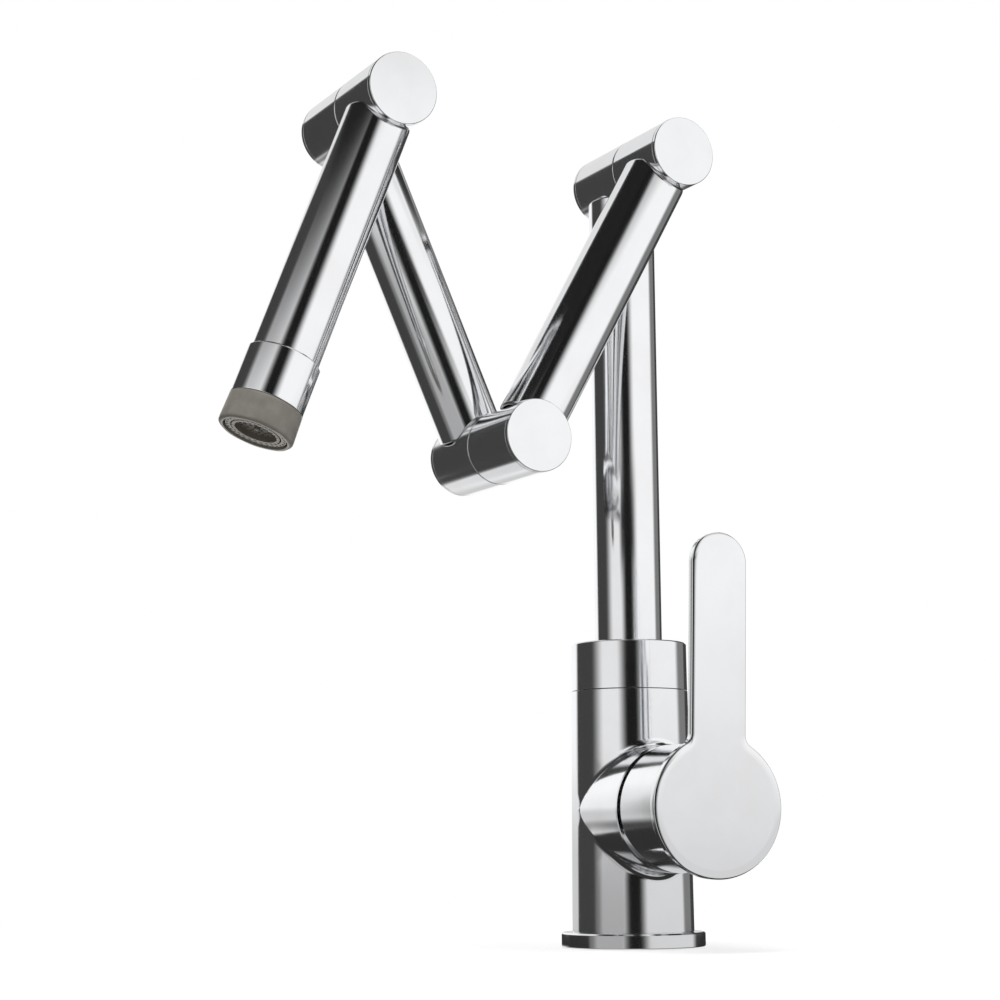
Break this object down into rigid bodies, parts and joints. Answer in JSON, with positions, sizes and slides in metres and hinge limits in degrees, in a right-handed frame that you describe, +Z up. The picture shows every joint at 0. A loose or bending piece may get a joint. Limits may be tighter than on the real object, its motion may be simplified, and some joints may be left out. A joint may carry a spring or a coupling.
{
  "type": "kitchen tap",
  "caption": "Deck-mounted chrome kitchen tap with a side lever and a spout that folds at three hinged elbows, so the nozzle reaches over pots and sink bowls.",
  "frame": {"origin": "centre of the base underside on the deck, at the middle of the two fixing stud holes", "axes": "+Z up; +X along the valve branch towards the lever handle; the folding spout reaches towards -Y in the pictured pose"},
  "size_m": [0.1077, 0.2202, 0.3447],
  "materials": {
    "chrome": "polished chrome plate on brass",
    "brass": "machined",
    "steel": "turned stainless steel",
    "rubber": "moulded",
    "nylon": "moulded",
    "ceramic": "lapped ceramic",
    "ring_grey": "moulded warm grey plastic",
    "insert_brown": "moulded dark brown plastic"
  },
  "bodies": {
    "base": {"base_flange": "chrome", "base_gasket": "rubber", "inlet_foot": "brass", "valve_body": "chrome", "cartridge_base": "nylon", "cartridge_port_seals": "rubber", "fixed_ceramic_disc": "ceramic", "cartridge_housing": "nylon", "cartridge_nut": "brass", "bonnet_dome": "chrome", "swivel_spigot": "brass", "spigot_o_rings": "rubber", "swivel_slide_ring": "nylon"},
    "rotor": {"cartridge_rotor": "nylon", "stem_pivot_pin": "steel"},
    "disc_carrier": {"moving_ceramic_disc": "ceramic", "disc_coupler": "nylon"},
    "lever": {"lever_stem": "steel", "lever_handle": "chrome", "handle_grub_screw": "steel"},
    "column": {"swivel_collar": "chrome", "collar_grub_screw": "steel", "riser_tube": "chrome", "riser_elbow_rear": "chrome", "riser_elbow_rear_cap": "chrome", "riser_elbow_spindle": "brass", "riser_elbow_o_rings": "rubber", "riser_elbow_washer": "nylon", "riser_elbow_nut": "brass"},
    "upper_arm": {"riser_elbow_front": "chrome", "riser_elbow_front_cap": "chrome", "upper_arm_tube": "chrome", "middle_elbow_front": "chrome", "middle_elbow_front_cap": "chrome"},
    "middle_arm": {"middle_elbow_rear": "chrome", "middle_elbow_rear_cap": "chrome", "middle_elbow_spindle": "brass", "middle_elbow_o_rings": "rubber", "middle_elbow_washer": "nylon", "middle_elbow_nut": "brass", "middle_arm_tube": "chrome", "spout_elbow_rear": "chrome", "spout_elbow_rear_cap": "chrome", "spout_elbow_spindle": "brass", "spout_elbow_o_rings": "rubber", "spout_elbow_washer": "nylon", "spout_elbow_nut": "brass"},
    "spout": {"spout_elbow_front": "chrome", "spout_elbow_front_cap": "chrome", "spout_tube": "chrome", "nozzle_collar": "chrome", "ring_retainer": "steel", "flow_washer": "rubber", "aerator_screen": "steel", "aerator_insert": "insert_brown"},
    "twist_ring": {"nozzle_twist_ring": "ring_grey"}
  },
  "joints": [
    {"name": "base_swivel", "type": "hinge", "parent": "base", "child": "column", "pos_m": [0, 0, 0.104], "axis": [0, 0, 1], "continuous": true},
    {"name": "riser_elbow_hinge", "type": "hinge", "parent": "column", "child": "upper_arm", "pos_m": [0, 0, 0.3245], "axis": [-0.993, -0.1184, 0], "range_deg": [-14, 150]},
    {"name": "middle_elbow_hinge", "type": "hinge", "parent": "upper_arm", "child": "middle_arm", "pos_m": [0.00832, -0.06976, 0.1988], "axis": [0.993, 0.1184, 0], "range_deg": [-39, 96]},
    {"name": "spout_elbow_hinge", "type": "hinge", "parent": "middle_arm", "child": "spout", "pos_m": [0.01528, -0.12814, 0.33025], "axis": [-0.993, -0.1184, 0], "range_deg": [-31, 134]},
    {"name": "nozzle_twist", "type": "hinge", "parent": "spout", "child": "twist_ring", "pos_m": [0.05504, -0.17439, 0.19972], "axis": [0.0428, -0.3591, -0.9323], "range_deg": [0, 90]},
    {"name": "lever_turn", "type": "hinge", "parent": "base", "child": "rotor", "pos_m": [0.04, 0, 0.055], "axis": [1, 0, 0], "range_deg": [-46, 50]},
    {"name": "lever_lift", "type": "hinge", "parent": "rotor", "child": "lever", "pos_m": [0.04, 0, 0.055], "axis": [0, 0.9995, -0.0314], "range_deg": [0, 18]},
    {"name": "disc_slide", "type": "slide", "parent": "rotor", "child": "disc_carrier", "axis": [0, 0.0314, 0.9995], "range_m": [0, 0.0032]}
  ],
  "couplings": [
    {"joint": "disc_slide", "follows": "lever_lift", "m_per_rad": 0.01}
  ]
}
